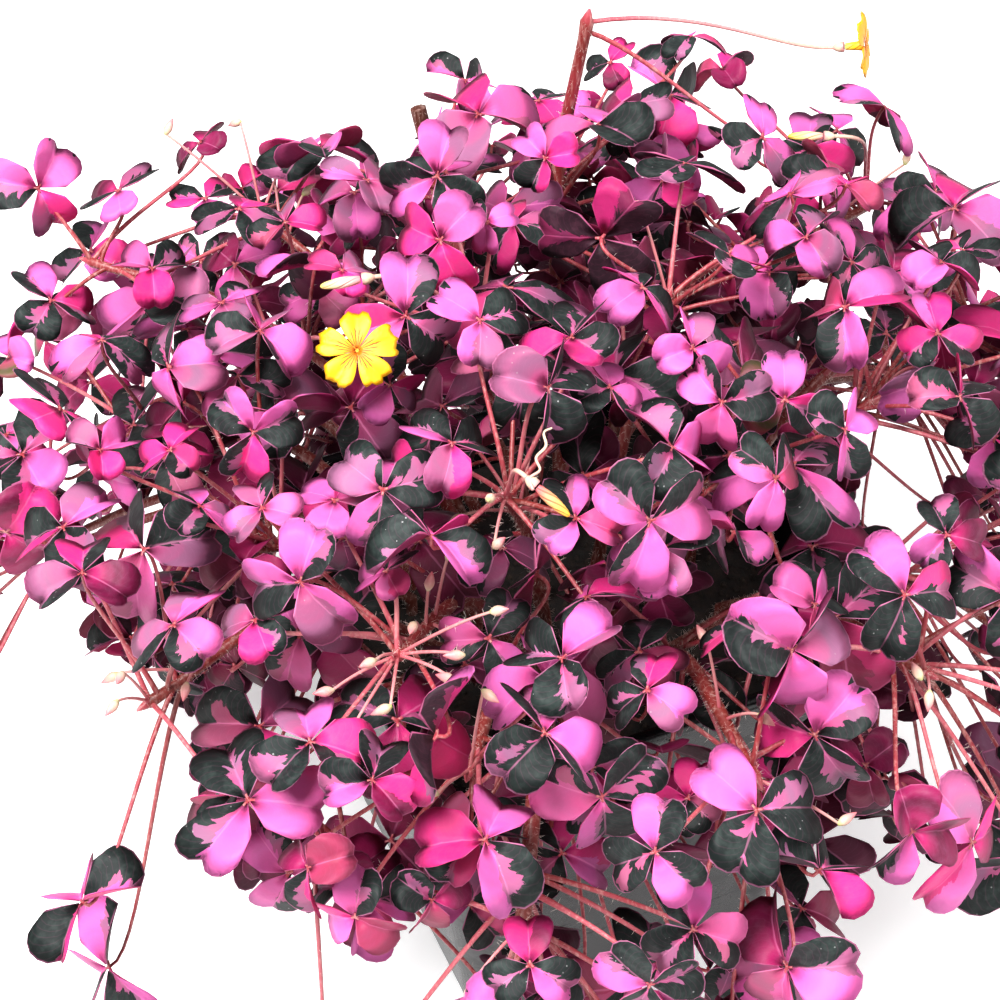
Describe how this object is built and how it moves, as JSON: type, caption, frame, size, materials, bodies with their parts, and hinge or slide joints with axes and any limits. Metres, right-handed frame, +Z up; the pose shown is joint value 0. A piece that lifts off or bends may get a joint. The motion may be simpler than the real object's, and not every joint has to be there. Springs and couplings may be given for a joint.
{
  "type": "potted oxalis plant",
  "caption": "Bushy oxalis in a square black nursery pot, with three-part leaves in pink, mauve and charcoal on thin stalks, small buds and yellow blooms.",
  "frame": {"origin": "middle of the pot's underside, where it rests", "axes": "+Z up out of the pot; +X and +Y square to the pot's sides, -Y towards the fuller front that the picture shows"},
  "size_m": [0.2642, 0.2463, 0.1982],
  "materials": {
    "pot_plastic": "smooth black plastic with a soft gloss",
    "potting_soil": "loose, matt dark brown potting mix",
    "foliage_plum": "living leaf and stem, orchid pink with charcoal marks, soft sheen",
    "foliage_charcoal": "living leaf and stem, charcoal green with pink marks, soft sheen",
    "foliage_mauve": "living leaf and stem, mauve with charcoal marks, soft sheen",
    "petal_yellow": "thin bright yellow petals, satin",
    "petal_pale": "thin cream to faded yellow petals with pink tips, matt"
  },
  "bodies": {
    "root": {"pot": "pot_plastic", "soil": "potting_soil", "leafy_stem_tall": "foliage_plum", "leafy_stem_cut": "foliage_charcoal", "leafy_stem_back_left": "foliage_mauve", "leafy_stem_far_left": "foliage_plum", "leafy_stem_left": "foliage_charcoal", "leafy_stem_left_edge": "foliage_mauve", "leafy_stem_left_low": "foliage_plum", "leafy_stem_upper_left": "foliage_charcoal", "leafy_stem_middle_left": "foliage_mauve", "leafy_stem_hairy": "foliage_plum", "leafy_stem_middle": "foliage_charcoal", "leafy_stem_upper_middle": "foliage_mauve", "leafy_stem_upper_right": "foliage_plum", "leafy_stem_back_right": "foliage_charcoal", "leafy_stem_far_right": "foliage_mauve", "leafy_stem_right": "foliage_plum", "leafy_stem_middle_right": "foliage_charcoal", "leafy_stem_right_low": "foliage_mauve", "leafy_stem_front_right": "foliage_plum", "leafy_stem_front": "foliage_charcoal", "leafy_stem_front_left": "foliage_mauve", "leafy_stem_low_left": "foliage_plum", "leafy_stem_rear_left": "foliage_charcoal", "leafy_stem_rear": "foliage_mauve", "leafy_stem_rear_right": "foliage_plum", "leafy_stem_rear_low": "foliage_charcoal", "leafy_stem_side_right": "foliage_mauve", "leafy_stem_side_low": "foliage_plum", "leafy_stem_side_left": "foliage_charcoal", "bloom_open": "petal_yellow", "bloom_side": "petal_yellow", "bloom_closed": "petal_pale", "bloom_faded": "petal_pale", "bud_long": "petal_pale"}
  },
  "joints": []
}
